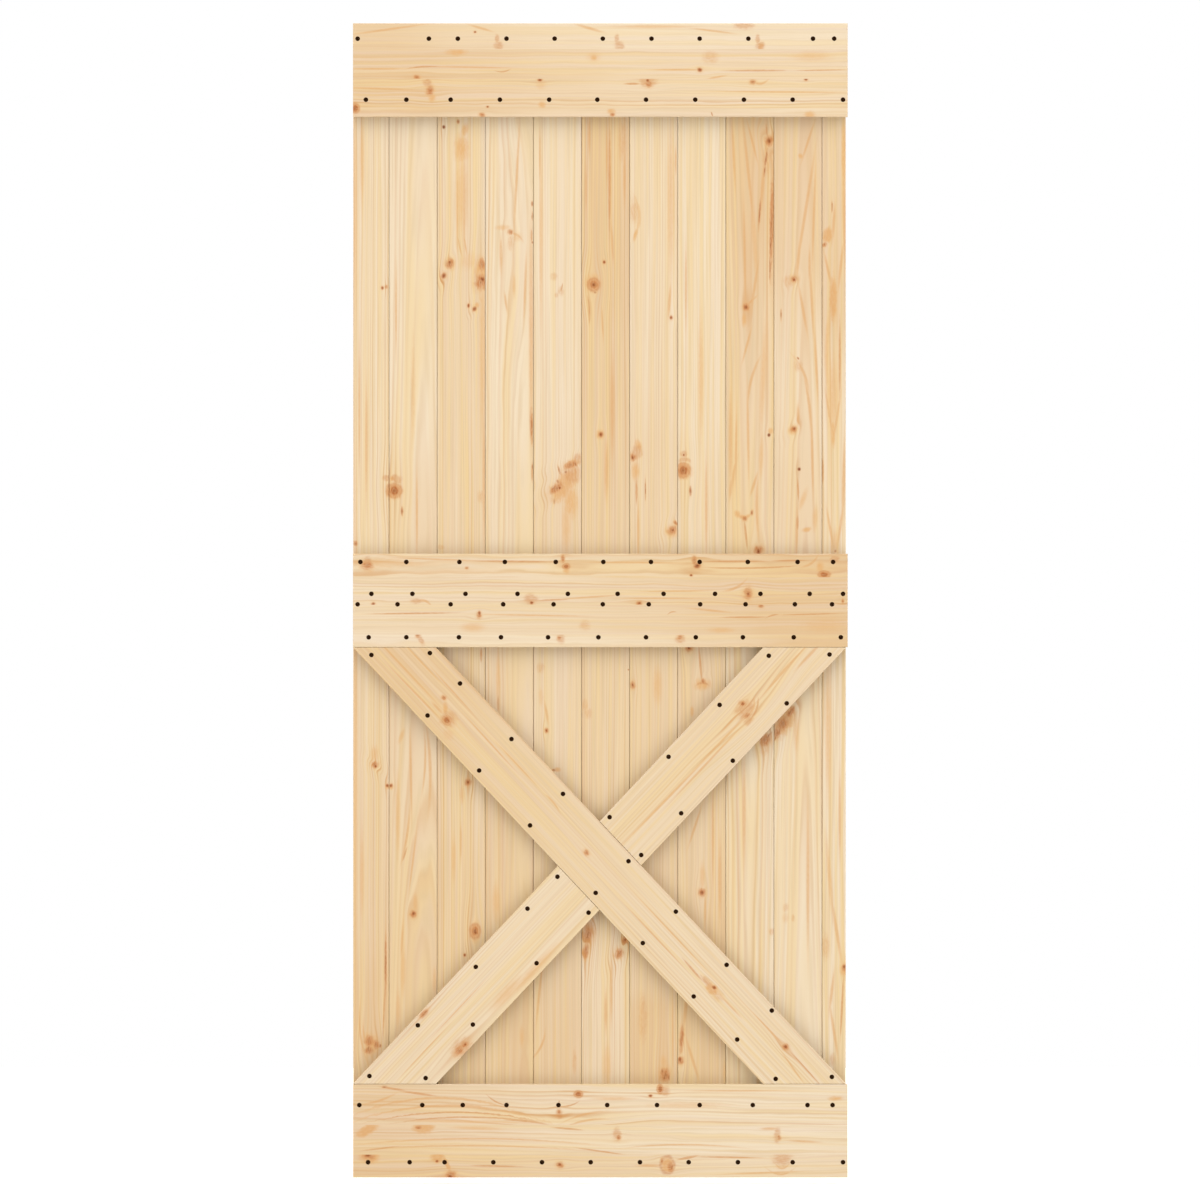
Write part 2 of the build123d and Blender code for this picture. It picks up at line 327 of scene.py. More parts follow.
# What each kind of mark looks like. Strength is of amber, red and dark, and Spread is a share of
# the mark's radius here.
markKinds = {
    "pin": {"Strength": (0.5, 0.8, 0.85), "Halo": 2.3, "Core": 0.8, "Rings": 0.0, "Spread": 0.5},
    "knot": {"Strength": (0.9, 0.8, 0.8), "Halo": 1.9, "Rim": 0.5, "Spread": 0.6},
    "red": {"Strength": (0.75, 0.7, 0.4), "Halo": 2.0, "Rings": 0.2, "Ragged": 0.85, "Broken": 0.4,
            "Spread": 0.35},
    "ruby": {"Strength": (0.95, 0.9, 0.5), "Halo": 1.8, "Core": 0.8, "Rim": 0.45, "Spread": 0.3},
    "rosy": {"Strength": (0.4, 0.32, 0.0), "Halo": 1.5, "Rings": 0.0, "Ragged": 0.9, "Broken": 0.4},
    # The hole kind's dark core is painted shade, standing in for the shadow inside a small hole that the
    # plank's shape doesn't have
    "paintedHoleShade": {"Strength": (0.2, 0.4, 1.0), "Halo": 1.8, "Core": 1.3, "Rings": 0.0, "Broken": 0.0,
             "Spread": 0.5},
    "ring": {"Strength": (0.4, 0.15, 0.0), "Halo": 1.3, "Rim": 0.5, "Broken": 0.5},
    "blush": {"Strength": (0.42, 0.14, 0.0), "Halo": 1.4, "Ragged": 0.7, "Broken": 0.5},
    "amber": {"Strength": (0.85, 0.0, 0.0), "Halo": 1.3, "Ragged": 0.5},
    "patch": {"Strength": (0.85, 0.12, 0.0), "Halo": 1.3, "Full": 0.55, "Ragged": 0.75, "Broken": 0.25},
    "honey": {"Strength": (0.4, 0.0, 0.0), "Halo": 1.5, "Ragged": 0.6},
    "resin": {"Strength": (0.5, 0.6, 0.42), "Halo": 1.8, "Core": 0.8, "Rings": 0.0, "Broken": 0.5},
    "vein": {"Strength": (0.6, 0.38, 0.0), "Halo": 1.3, "Rings": 0.0, "Ragged": 0.25},
    "line": {"Strength": (0.6, 0.1, 0.0), "Halo": 1.7, "Rings": 0.0, "Ragged": 0.2, "Broken": 0.2},
    "band": {"Strength": (0.55, 0.0, 0.0), "Halo": 1.5, "Ragged": 0.3, "Broken": 0.2},
    "whorl": {"Strength": (0.0, 0.0, 0.0), "Ragged": 0.6, "Spread": 0.3, "Swell": 11.0},
}
stainColours = {
    "amber": fromSrgb(227, 174, 112),
    "red": fromSrgb(192, 109, 54),
    "dark": fromSrgb(122, 53, 15),
}
woodShine = {"roughness": 0.62, "specular": 0.22, "relief": 0.35, "reliefDepth": 0.0004}
paintedShadeBounce = 0.5  # painted shade: the share by which the wood looks darker to bounced light, so that the shadows beside rails and braces stay deep
markDepth = 0.4   # a mark runs straight through its plank
# Each mark waits for the one before through a share too small to see. Without it the renderer works
# them all out at once, and a plank with many marks turns black.
markWait = (1e-9, 1e-9, 1e-9)

# What a plank or stave has where it gives nothing else
plainPlank = {"lean": 0, "lines": 0.5, "streaks": 0.4, "taper": 0, "wander": 6, "ripple": 1.5,
              "wave": 240, "pink": 0.25}
seedSteps = (7.3, 3.1, 1.7)  # a plank's seed times these shifts its noise


def stavesOf(tree, place, plank, seed):
    # Pith, look and seed, each changing at the glue lines of an edge-glued plank
    staves = [{**plainPlank, **stave} for stave in plank.get("staves", [plank])]
    picks = [[(*stave["pith"], 0) for stave in staves]]
    picks.append([(stave["toning"], stave["lines"], stave["streaks"]) for stave in staves])
    picks.append([tuple(value * (1 + number) for value in seed) for number in range(len(staves))])
    settings = [values[0] for values in picks]
    across = split(tree, place)[0]
    for number, stave in enumerate(staves[1:], start=1):
        past = maths(tree, "GREATER_THAN", across, stave["top"] - plank["middle"][1])
        for index, values in enumerate(picks):
            step = tuple(np.subtract(values[number], values[number - 1]).tolist())
            settings[index] = vectors(tree, "MULTIPLY_ADD", past, step, settings[index])
    return settings


def tonesAlong(tree, place, look, tones, way):
    # Adds to the toning from one place along the plank to the next: tones holds (place, change)
    along = maths(tree, "MULTIPLY", split(tree, place)[2], way)
    change = tones[0][1]
    for (before, first), (after, second) in zip(tones, tones[1:]):
        change = maths(tree, "ADD", change, ramp(tree, along, before, after, 0.0, second - first))
    return vectors(tree, "ADD", look, join(tree, change))


def marksOf(tree, objectPlace, place, plank, seed):
    # Chains the marks of all staves, each cut off at its stave's glue lines
    lean = math.radians(plank["lean"])
    ragged = noiseOf(tree, place, markShape["ragged"], seed, "Color")
    wobble = vectors(tree, "SUBTRACT", ragged, (0.5, 0.5, 0.5))
    speckle = noiseOf(tree, place, markShape["speckle"], seed)
    across = split(tree, place)[0]
    stains = (0, 0, 0)
    push = (0, 0, 0)
    for stave in plank.get("staves", [plank]):
        cut = {}
        if "top" in stave:
            middle = (stave["top"] + stave["bottom"]) / 2 - plank["middle"][1]
            cut = {"CutMiddle": middle, "CutHalf": (stave["bottom"] - stave["top"]) / 2}
        for kind, x, markDrop, radius, *rest in stave["marks"]:
            stretch = rest[0] if rest else markShape["stretch"]
            tilt = math.radians(rest[1]) if len(rest) > 1 else 0
            bend = rest[2] if len(rest) > 2 else 0
            inputs = {
                "Vector": objectPlace,
                "Location": (x * mm, 0, -markDrop * mm),
                "Rotation": (0, lean + tilt, 0),
                "Scale": (radius * mm, markDepth, radius * stretch * mm),
            }
            if stains != (0, 0, 0):
                inputs["Vector"] = vectors(tree, "MULTIPLY_ADD", stains, markWait, objectPlace)
            own = addNode(tree, "Mapping", inputs, vector_type="TEXTURE").outputs[0]
            look = markKinds[kind]
            spread = look.get("Spread", 0.0) * radius
            settings = {"Place": own, "Wobble": wobble, "Speckle": speckle, "Down": across, **cut, **look,
                        "Stains": stains, "Push": push, "Bend": bend, "Spread": spread}
            mark = placeGroup(tree, markGroup, settings)
            stains = mark["Stains"]
            push = mark["Push"]
    return stains, push


def pineMaterial(name, plank):
    # plank: middle (x, drop) and front in mm, lean from upright towards the right in degrees,
    # grain settings, and its marks by place
    plank = {**plainPlank, **plank}
    material = newMaterial(name)
    tree = material.node_tree
    lean = math.radians(plank["lean"])
    coordinates = addNode(tree, "TexCoord").outputs
    objectPlace = coordinates["Object"]
    middleX, drop = plank["middle"]
    inputs = {
        "Vector": objectPlace,
        "Location": (middleX * mm, plank["front"] * mm, -drop * mm),
        "Rotation": (0, lean, 0),
        "Scale": (mm, mm, mm),
    }
    place = addNode(tree, "Mapping", inputs, vector_type="TEXTURE").outputs[0]
    seed = tuple(plank["seed"] * step for step in seedSteps)
    stains, push = marksOf(tree, objectPlace, place, plank, seed)
    pith, look, ownSeed = stavesOf(tree, place, plank, seed)
    if "tones" in plank:
        # By the drop on an upright board, and by the distance from its middle on any other plank
        look = tonesAlong(tree, place, look, plank["tones"], 1.0 if lean else -1.0)
    along = (math.sin(lean), 0, math.cos(lean))
    facing = vectors(tree, "DOT_PRODUCT", coordinates["Normal"], along)
    settings = {
        "Place": place,
        "Push": push,
        "Pith": pith,
        "Seed": ownSeed,
        "Pitch": plank["pitch"],
        "Taper": plank["taper"] * mm,
        "Wander": plank["wander"],
        "Ripple": plank["ripple"],
        "Wave": plank["wave"],
        "Look": look,
        "Pink": plank["pink"],
        "Ends": ramp(tree, maths(tree, "ABSOLUTE", facing), *grainShape["endFacing"]),
    }
    grain = placeGroup(tree, grainGroup, settings)
    colour = grain["Color"]
    for strength, stain in zip(split(tree, stains), stainColours.values()):
        colour = mixColours(tree, strength, colour, stain)
    # Painted shade: the wood's colour is darkened for bounced light only, which deepens the shadows beside
    # the rails and braces
    paintedShadeMix = maths(tree, "MULTIPLY", addNode(tree, "LightPath").outputs["Is Diffuse Ray"], paintedShadeBounce)
    colour = mixColours(tree, paintedShadeMix, colour, (0, 0, 0, 1))
    bump = addNode(tree, "Bump", {
        "Height": noiseOf(tree, place, grainShape["fibre"], seed),
        "Strength": woodShine["relief"],
        "Distance": woodShine["reliefDepth"],
    })
    setSurface(tree, {
        "Base Color": colour,
        "Roughness": woodShine["roughness"],
        "Specular IOR Level": woodShine["specular"],
        "Normal": bump.outputs[0],
    })
    return material


def finishPlank(name, plank, fromTop=False):
    # Its middle, or the middle of its top end, and its front come from the frame
    low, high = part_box(name)
    level = high.z if fromTop else (low.z + high.z) / 2
    plank["middle"] = ((low.x + high.x) / 2 / mm, -level / mm)
    plank["front"] = low.y / mm
    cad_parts[name].material_slots[0].material = pineMaterial(name + "_pine", plank)


# Boards. toning goes from 0, pale, to 1, tan, and tones adds to it by the drop below the top edge.
# pith lies across and behind the face, taper is in mm a metre, and lines and streaks are strengths.
# A mark is its kind, x from the leaf's middle, drop below the top edge, radius, stretch along the
# grain, tilt in degrees and bend in radii. Every other length is in mm.
boards = {
    "board_01": {
        "toning": 0.23, "pith": (190, 30), "pitch": 4.5, "lines": 0.5, "streaks": 0.42, "seed": 1,
        "tones": [(560, -0.07), (700, -0.22), (880, -0.05), (1240, 0.14), (1600, 0.42), (1850, 0.95)],
        "marks": [
            ("band", -446, 340, 4, 45), ("band", -446, 1300, 4.5, 110), ("line", -439, 700, 1.6, 75),
            ("line", -426, 760, 2.4, 45), ("band", -434, 250, 4, 20), ("band", -434, 1550, 4, 20),
            ("pin", -397, 481, 2.8, 1.3), ("red", -390, 479, 3), ("patch", -381, 852, 10, 1.2),
            ("ruby", -376, 850, 12, 1.1), ("rosy", -390, 827, 7, 0.9), ("red", -446, 946, 4, 1.3),
            ("band", -411, 1330, 7, 2.2), ("red", -411, 1349, 7, 1.0, -40),
            ("pin", -409, 1352, 3.4, 1.1, -40), ("pin", -388, 1387, 3.2), ("amber", -386, 1389, 7, 0.9),
            ("resin", -391, 1712, 2.4, 26), ("vein", -394, 1800, 1.6, 34, 2),
            ("line", -437, 1839, 1.8, 28, -7, 3.2), ("line", -428, 1852, 1.8, 18, -15, 2.4),
            ("amber", -416, 1858, 15, 1.3), ("red", -421, 1852, 9, 1.2), ("red", -422, 1869, 8, 0.9),
            ("resin", -423, 1866, 3, 2.4, 20), ("red", -408, 1858, 6, 1.4), ("resin", -401, 1861, 2.6, 1.4),
        ],
    },
    "board_02": {
        "toning": 0.05, "pith": (15, 45), "pitch": 6, "taper": 14, "lines": 0.4, "streaks": 0.42,
        "pink": 0.1, "seed": 2,
        "tones": [(260, 0.11), (500, -0.12), (700, -0.08), (880, 0.32), (1400, 0.4), (1750, 0.68)],
        "marks": [
            ("honey", -341, 670, 4, 24), ("line", -334, 890, 2.0, 34), ("line", -372, 520, 2.0, 40),
            ("patch", -375, 851, 15, 1.0), ("ruby", -375, 850, 12, 1.0), ("resin", -378, 851, 4, 1.2),
            ("resin", -370, 854, 4, 1.2), ("rosy", -375, 826, 7, 0.9), ("amber", -379, 828, 6, 1.0),
            ("rosy", -370, 830, 10, 0.8), ("resin", -361, 887, 2.6, 3.6), ("pin", -381, 1387, 3.2),
            ("amber", -382, 1389, 7, 0.9), ("whorl", -332, 1300, 22, 2.5),
            ("line", -310, 1350, 2.8, 26, -2, -1.5), ("line", -319, 1345, 2.0, 26, 2, -1.5),
            ("line", -345, 1370, 2.2, 34, -1), ("band", -362, 1297, 4, 3.5, 20),
            ("band", -369, 1440, 4.5, 16), ("line", -352, 1478, 2.2, 22, 9, -1.2),
            ("vein", -356, 1512, 1.8, 8, 18), ("line", -342, 1530, 1.8, 28, 7),
            ("band", -337, 1600, 4, 4.5), ("red", -341, 1621, 6.5, 1.1), ("pin", -340, 1620, 4.8, 1.0),
            ("line", -361, 1668, 2.2, 15, 3), ("band", -359, 1722, 5, 9), ("band", -368, 1795, 4, 9),
            ("band", -302, 1742, 3.5, 7),
        ],
    },
    "board_03": {
        "toning": 0.33, "pith": (160, 25), "pitch": 5, "lines": 0.65, "streaks": 0.55, "seed": 3,
        "tones": [(200, -0.09), (500, 0.14), (1360, 0.18), (1620, 0.54)],
        "marks": [
            ("paintedHoleShade", -285, 188, 3.2, 1.2), ("resin", -259, 178, 3, 1.6), ("amber", -247, 194, 7, 2.0, 15),
            ("amber", -253, 228, 15, 2.0), ("band", -252, 310, 12, 6), ("line", -260, 335, 2.0, 40),
            ("line", -248, 325, 2.2, 40), ("line", -257, 402, 1.5, 14, -12),
            ("line", -246, 402, 1.6, 14, -9), ("red", -274, 437, 8, 1.2, 20),
            ("pin", -274, 434, 3.6, 1.2, 20), ("pin", -285, 459, 4.8, 1.3, 15),
            ("honey", -240, 432, 16, 1.0), ("amber", -218, 452, 14, 2.2), ("red", -216, 438, 6, 2.0),
            ("red", -218, 470, 12, 1.3), ("pin", -215, 465, 6, 1.0), ("band", -214, 600, 7, 22),
            ("line", -212, 820, 2.4, 50), ("pin", -240, 513, 2.8, 1.6), ("pin", -229, 519, 4.2, 1.3, 35),
            ("amber", -224, 512, 5, 1.2), ("blush", -215, 862, 9, 1.4), ("blush", -290, 953, 7, 0.7),
            ("vein", -217, 1149, 2.4, 6), ("red", -241, 1381, 6.5, 1.1), ("pin", -241, 1381, 4),
            ("band", -252, 1404, 4, 4), ("band", -267, 1520, 4, 11), ("line", -254, 1490, 1.8, 18),
            ("amber", -228, 1654, 12, 1.7), ("knot", -228, 1652, 9, 1.4), ("pin", -227, 1655, 4.5, 1.1),
            ("pin", -247, 1696, 2.8, 1.3),
        ],
    },
    "board_04": {
        "toning": 0.03, "pith": (26, 28), "pitch": 6, "taper": 3, "wander": 10, "ripple": 2.6, "wave": 120,
        "lines": 0.5, "seed": 4,
        "tones": [(260, -0.04), (400, 0.01), (700, -0.02), (900, 0.17), (1230, 0.53), (1550, 0.85),
                  (1850, 0.9)],
        "marks": [
            ("whorl", -161, 392, 18, 2.2), ("line", -152, 275, 2.4, 36, 3), ("band", -178, 371, 5, 2.6, 88),
            ("red", -164, 379, 5.5, 0.9), ("blush", -164, 398, 6, 2.6),
            ("line", -151, 385, 2.6, 5, -58, -1.2), ("honey", -151, 388, 9, 0.9),
            ("line", -181, 420, 2.8, 11), ("band", -157, 478, 3, 7), ("line", -172, 507, 2.2, 8, -8),
            ("line", -137, 480, 2.4, 24, 2), ("resin", -124, 328, 2.2, 2.6), ("resin", -124, 350, 1.8, 5),
            ("vein", -125, 386, 2.0, 7), ("resin", -124, 398, 1.8, 1.6), ("line", -126, 560, 4, 45),
            ("red", -125, 731, 2.6, 12), ("vein", -126, 728, 3.4, 10), ("vein", -124, 816, 2.4, 8),
            ("resin", -124, 807, 1.8, 4), ("band", -186, 1195, 4, 13), ("vein", -186, 1238, 2.0, 8),
            ("band", -190, 1600, 7, 5), ("band", -143, 1845, 4, 5),
        ],
    },
    "board_05": {
        "toning": 0.0, "pith": (-210, 20), "pitch": 5, "lines": 0.3, "seed": 5,
        "tones": [(560, 0.11), (680, 0.02), (780, 0.17), (880, 0.57), (1240, 0.44), (1700, 0.68),
                  (1850, 0.87)],
        "marks": [
            ("band", -108, 390, 3.5, 45), ("line", -110, 240, 1.8, 25), ("blush", -72, 487, 6, 1.4),
            ("vein", -70, 480, 1.4, 6, 10), ("blush", -80, 494, 4), ("blush", -85, 460, 7, 1.1),
            ("patch", -66, 840, 17, 2.2, 34), ("rosy", -52, 820, 18, 1.1, 30),
            ("rosy", -40, 792, 9, 1.2, -20), ("band", -62, 915, 8, 6), ("amber", -54, 872, 14, 2.4),
            ("patch", -52, 802, 8, 2.2, 66), ("red", -53, 803, 7, 2.2, 66),
            ("resin", -46, 801, 3.2, 2.4, -32), ("resin", -63, 816, 2.8, 1.2),
            ("resin", -75, 813, 2.0, 5, -16), ("resin", -77, 834, 3, 1.6, -30),
            ("red", -80, 846, 8, 2.0, 50), ("pin", -74, 845, 3.6, 1.0, 60),
            ("resin", -85, 845, 2.6, 3.0, 45), ("resin", -84, 869, 2.0, 3.2), ("blush", -109, 1173, 8, 1.3),
            ("honey", -108, 1225, 5, 3), ("line", -98, 1255, 2.4, 8, -10), ("red", -98, 1287, 4, 1.2),
            ("pin", -98, 1287, 2.8, 1.2), ("resin", -85, 1359, 4, 0.6, 10), ("amber", -78, 1358, 7, 0.7),
            ("line", -111, 1765, 2.2, 26, 6), ("line", -108, 1862, 2.2, 12, 26, -2),
            ("blush", -47, 1890, 4, 6),
        ],
    },
    "board_06": {
        "toning": 0.8, "pith": (170, 30), "pitch": 4.5, "lines": 0.5, "streaks": 0.55, "seed": 6,
        "tones": [(200, 0.86), (400, 0.48), (600, 0.05), (1230, -0.22), (1500, -0.16), (1750, -0.48)],
        "marks": [
            ("vein", 17, 285, 2.8, 38), ("line", 12, 240, 2.0, 26), ("line", -20, 205, 2.2, 14),
            ("line", -26, 300, 1.6, 28), ("blush", 40, 215, 8, 5), ("line", 44, 280, 2.4, 20),
            ("line", 22, 400, 2.2, 16, -3), ("pin", 7, 434, 3.2, 1.2), ("amber", -14, 472, 16, 1.1),
            ("knot", -12, 475, 10, 1.1), ("pin", -12, 475, 4.5), ("resin", -9, 489, 2.6, 1.0),
            ("vein", -20, 520, 2.0, 14, -4, -1), ("line", 4, 545, 1.6, 18, -3), ("line", 22, 700, 4, 22),
            ("pin", 1, 748, 5, 1.2), ("amber", 0, 748, 9, 1.1), ("line", 11, 812, 4, 13),
            ("blush", -22, 1256, 8, 1.3), ("blush", -28, 1240, 6, 2.0), ("resin", 51, 1176, 1.8, 1),
            ("red", -23, 1658, 11, 1.5, 8), ("red", -24, 1663, 7, 1.3, 20), ("rosy", -20, 1650, 13, 1.4),
            ("red", -26, 1687, 6, 2.4, 8), ("red", 44, 1669, 5, 1.5, 10), ("pin", 45, 1668, 3),
            ("red", 34, 1693, 8, 1.2, 30), ("resin", 36, 1691, 2.2, 3, 30), ("line", 20, 1760, 2.2, 26),
            ("band", 12, 1898, 8, 5), ("line", 10, 1800, 3, 12),
        ],
    },
    "board_07": {
        "toning": 0.18, "pith": (-160, 25), "pitch": 5, "lines": 0.32, "streaks": 0.42, "seed": 7,
        "tones": [(260, -0.09), (600, 0.07), (800, 0.31), (1230, 0.48), (1740, 0.53), (1850, 1.24)],
        "marks": [
            ("blush", 62, 340, 9, 2.6), ("band", 71, 352, 3.4, 11, 0, -2.6), ("amber", 64, 384, 4, 3.4, 15),
            ("band", 129, 320, 7, 20), ("line", 137, 250, 1.8, 14), ("line", 126, 505, 2.6, 12, 4),
            ("pin", 129, 535, 3.4, 1.2), ("rosy", 67, 779, 11, 1.2), ("amber", 69, 768, 7, 1.8, -15),
            ("amber", 64, 814, 8, 2.4), ("red", 60, 789, 6.5, 1.2), ("pin", 59, 790, 4.2, 1.2),
            ("vein", 66, 850, 2.4, 11), ("resin", 82, 848, 1.4, 15), ("line", 69, 920, 2.4, 20),
            ("amber", 130, 924, 13, 1.0), ("red", 131, 922, 8, 1.1, 40), ("pin", 132, 922, 3.6, 1.0, 60),
            ("red", 137, 909, 5, 0.7, 50), ("red", 59, 1204, 5, 1.5), ("pin", 59, 1204, 3, 1.5),
            ("band", 104, 1205, 8, 4), ("blush", 78, 1810, 9, 5), ("line", 132, 1840, 1.6, 40),
            ("amber", 116, 1912, 13, 1.6), ("red", 118, 1914, 10, 1.3), ("resin", 113, 1907, 3, 2.2),
            ("resin", 117, 1919, 3.4, 1.6, 20), ("resin", 125, 1918, 2.2, 3.4), ("band", 115, 1890, 6, 2.0),
        ],
    },
    "board_08": {
        "toning": 0.12, "pith": (200, 20), "pitch": 5.5, "lines": 0.28, "streaks": 0.48, "seed": 8,
        "tones": [(300, -0.19), (620, -0.11), (880, 0.16), (1230, 0.58), (1500, 0.52), (1850, 1.2)],
        "marks": [
            ("band", 183, 640, 5, 22), ("line", 193, 880, 2.6, 32), ("line", 156, 480, 2.0, 35),
            ("patch", 151, 814, 16, 1.0), ("ruby", 151, 813, 12, 1.05), ("resin", 148, 815, 4, 1.3),
            ("resin", 155, 818, 4, 1.3, 30), ("rosy", 153, 793, 5, 2.4, 90, 1), ("rosy", 152, 783, 7, 1.0),
            ("pin", 152, 785, 2.2, 1.3), ("resin", 164, 851, 2.8, 3.6), ("red", 162, 1137, 7, 1.1),
            ("pin", 161, 1136, 4, 1.2), ("vein", 182, 1165, 2.2, 16, -5), ("amber", 186, 1203, 17, 0.7),
            ("red", 187, 1197, 5, 0.8, 60), ("vein", 186, 1200, 2.6, 5, 90, 2.2),
            ("amber", 167, 1252, 3.5, 3), ("whorl", 187, 1220, 14, 2.0), ("line", 173, 1460, 2.2, 16, 18),
            ("line", 205, 1480, 2.4, 36), ("line", 218, 1560, 3.0, 24), ("band", 186, 1553, 5, 5),
            ("red", 185, 1582, 7.5, 1.1), ("pin", 185, 1582, 5), ("line", 191, 1615, 2.0, 16),
            ("line", 155, 1796, 3, 11, 6), ("red", 148, 1848, 4, 7, 4), ("resin", 148, 1848, 2.0, 14, 5),
            ("red", 146, 1888, 6, 1.3), ("pin", 145, 1886, 4, 1.5), ("line", 168, 1886, 2.6, 14, -17),
            ("band", 227, 1908, 4, 5),
        ],
    },
    "board_09": {
        "toning": 0.66, "pith": (-6, 24), "pitch": 6, "taper": -9, "wander": 10, "lines": 0.7,
        "streaks": 0.55, "seed": 9,
        "tones": [(200, 0.33), (600, -0.03), (900, -0.1), (1360, -0.84), (1625, -1.0), (1745, -0.54)],
        "marks": [
            ("red", 307, 213, 8, 1.3, -20), ("pin", 307, 213, 6, 1.2, -25), ("vein", 303, 195, 1.6, 9, -5),
            ("blush", 303, 250, 8, 3.6), ("resin", 302, 244, 2.6, 8, 8), ("resin", 299, 268, 2.0, 6, 5),
            ("line", 295, 300, 3, 14, 4), ("resin", 290, 345, 2.2, 14, 4), ("red", 312, 362, 4, 22, 1),
            ("resin", 310, 402, 2.4, 12), ("resin", 309, 445, 1.8, 18), ("line", 277, 215, 2.0, 18, -14),
            ("line", 269, 265, 2.6, 34, -6), ("band", 281, 395, 4.5, 18, -3),
            ("line", 282, 472, 2.6, 16, 8), ("line", 275, 505, 2.0, 7, 45), ("line", 263, 420, 2.0, 42, -1),
            ("line", 243, 240, 2.4, 26, -3), ("red", 265, 516, 6.5, 1.1), ("pin", 265, 516, 4.8),
            ("amber", 262, 538, 5, 3), ("line", 267, 585, 2.2, 14, 15),
            ("line", 274, 651, 2.6, 17, 13.7, 2.0), ("line", 269, 745, 2.4, 34, -1),
            ("band", 297, 640, 6, 16, 3), ("band", 293, 788, 4.5, 9, 2), ("line", 280, 838, 2.6, 8, 18),
            ("line", 237, 755, 3, 28), ("line", 243, 818, 2.4, 12, 8, 1), ("line", 237, 846, 2.6, 8, 3),
            ("line", 247, 775, 2.2, 30, 1), ("paintedHoleShade", 307, 749, 3.2, 1.2), ("amber", 310, 742, 5, 1.4),
            ("red", 263, 901, 4.6, 1.0), ("amber", 262, 899, 5, 3.2, 88, -1.8),
            ("line", 262, 899, 2.6, 5.6, 88, -3.4), ("amber", 250, 893, 6, 1.4, -35),
            ("resin", 276, 890, 3.2, 1.8, 8), ("line", 285, 885, 2.8, 20, -1, 1),
            ("vein", 265, 930, 2.2, 13, -6), ("red", 288, 958, 9, 0.9), ("pin", 288, 961, 5.5),
            ("red", 301, 1304, 10, 1.3, 25), ("resin", 306, 1297, 2.2, 5, 40),
            ("blush", 298, 1318, 10, 1.5), ("line", 262, 1430, 3.0, 30), ("blush", 312, 1653, 6, 1.2),
        ],
    },
    "board_10": {
        "toning": 0.35, "pith": (10, 26), "pitch": 6.5, "taper": 15, "wander": 10, "lines": 0.4,
        "streaks": 0.4, "seed": 10,
        "tones": [(200, 0.41), (400, 0.38), (650, -0.12), (900, 0.13), (1230, -1.6), (1450, -1.3),
                  (1700, -0.32)],
        "marks": [
            ("line", 378, 215, 2.2, 16, 18), ("amber", 365, 241, 6, 0.8, 60),
            ("line", 373, 345, 2.8, 38, 9), ("line", 361, 425, 2.6, 13, 5), ("line", 389, 345, 2.2, 38, 2),
            ("line", 381, 440, 2.2, 14), ("blush", 345, 468, 13, 0.8), ("red", 352, 465, 6.5, 1.0, 40),
            ("pin", 353, 466, 3.8, 1.1, 40), ("line", 369, 520, 2.6, 16, -10),
            ("line", 385, 505, 2.6, 26, -3), ("resin", 329, 530, 1.6, 7),
            ("resin", 360, 609, 2.0, 1.6, -40), ("blush", 360, 623, 9, 1.2),
            ("line", 371, 637, 2.6, 13, -22, -2), ("line", 380, 692, 2.6, 22, -7, -1),
            ("line", 386, 790, 2.4, 28, -1), ("line", 393, 620, 2.4, 26, -3),
            ("amber", 349, 741, 9, 0.9, 60), ("red", 352, 738, 6, 1.1, 40), ("pin", 353, 737, 3.8, 1.2, 30),
            ("line", 360, 714, 2.8, 7), ("paintedHoleShade", 362, 811, 3.4, 1.1), ("vein", 360, 848, 2.0, 11, -3),
            ("vein", 359, 908, 2.6, 6), ("band", 369, 866, 5, 4, 20), ("line", 358, 925, 2.4, 18, 1),
            ("amber", 376, 921, 5, 2.0, 76), ("band", 391, 900, 5, 4.5, 3),
            ("patch", 334, 1272, 17, 1.9, 30), ("red", 346, 1254, 6, 2.2, 35),
            ("red", 332, 1275, 11, 1.4, 30), ("red", 322, 1291, 7, 1.5, 10),
            ("resin", 347, 1252, 2.4, 5, 35), ("resin", 334, 1274, 2.4, 4, 15),
            ("resin", 326, 1289, 2.0, 5, 12), ("resin", 320, 1298, 1.8, 5, 20), ("band", 357, 1290, 5, 7),
            ("blush", 338, 1609, 6, 1.3), ("honey", 337, 1628, 6, 1.5), ("blush", 351, 1628, 4, 1.8),
            ("line", 378, 1560, 3, 40),
        ],
    },
    "board_11": {
        "toning": 0.45, "pith": (-60, 25), "pitch": 6, "wander": 9, "lines": 0.5, "streaks": 0.6,
        "seed": 11,
        "tones": [(260, 0.2), (520, 0.36), (650, -0.23), (800, -0.95), (1230, -0.4), (1400, -1.3),
                  (1625, -0.85),
                  (1745, -0.28), (1850, -0.5)],
        "marks": [
            ("amber", 443, 240, 4.5, 18), ("line", 444, 350, 3.4, 25, -1), ("line", 438, 440, 2.4, 17, 6),
            ("resin", 422, 333, 1.6, 7), ("line", 425, 362, 2.6, 12, 4), ("patch", 414, 385, 9, 1.7, 12),
            ("red", 408, 402, 4, 1.2, 40), ("line", 414, 446, 2.4, 12, -12), ("patch", 424, 500, 7, 6),
            ("band", 412, 600, 4.5, 20, 1, 1.5), ("vein", 436, 612, 2.4, 32), ("band", 423, 675, 12, 6),
            ("line", 416, 705, 2.6, 16, -9), ("line", 431, 715, 2.6, 16, 9), ("amber", 424, 745, 4.5, 7),
            ("vein", 405, 815, 2.4, 10), ("line", 443, 835, 3.2, 22, 1), ("line", 419, 922, 2.4, 16, -10),
            ("line", 437, 915, 2.4, 18, 8), ("band", 427, 945, 8, 3), ("resin", 428, 960, 2.2, 1.4),
            ("band", 415, 1290, 6, 20), ("line", 436, 1440, 2.4, 30), ("band", 418, 1560, 4, 20, -5),
